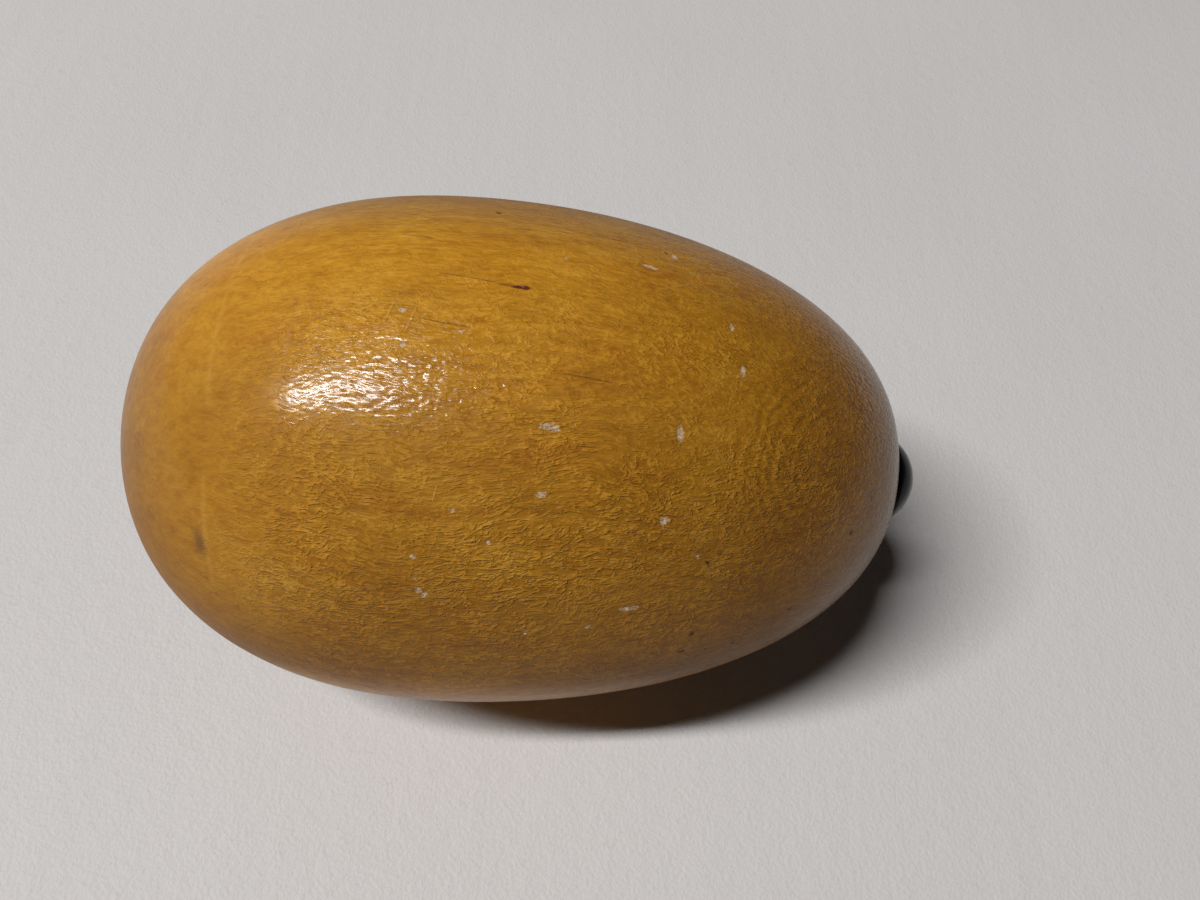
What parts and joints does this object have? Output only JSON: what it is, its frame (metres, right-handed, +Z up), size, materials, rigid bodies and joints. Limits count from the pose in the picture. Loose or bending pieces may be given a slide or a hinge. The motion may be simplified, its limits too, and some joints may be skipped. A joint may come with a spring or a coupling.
{
  "type": "darning egg",
  "caption": "Turned hardwood darning egg in amber varnish, lying on its side, with a needle well in the narrow end closed by a black domed stopper that pulls out.",
  "frame": {"origin": "under the middle of the whole length, stopper head included, on the surface the egg lies on", "axes": "+X along the lathe axis to the narrow, stoppered end; +Z up; +Y across the egg"},
  "size_m": [0.0766, 0.049, 0.0488],
  "materials": {
    "varnished_wood": "amber varnish, glossy, aged, over fine straight grain",
    "black_head": "polished black",
    "bare_wood": "bare turned wood",
    "cork": "dry natural cork"
  },
  "bodies": {
    "egg": {"egg_body": "varnished_wood"},
    "stopper": {"stopper_head": "black_head", "stopper_peg": "bare_wood", "stopper_cork": "cork"}
  },
  "joints": [
    {"name": "stopper_pull", "type": "slide", "parent": "egg", "child": "stopper", "axis": [1, 0, 0], "range_m": [0, 0.025]}
  ]
}
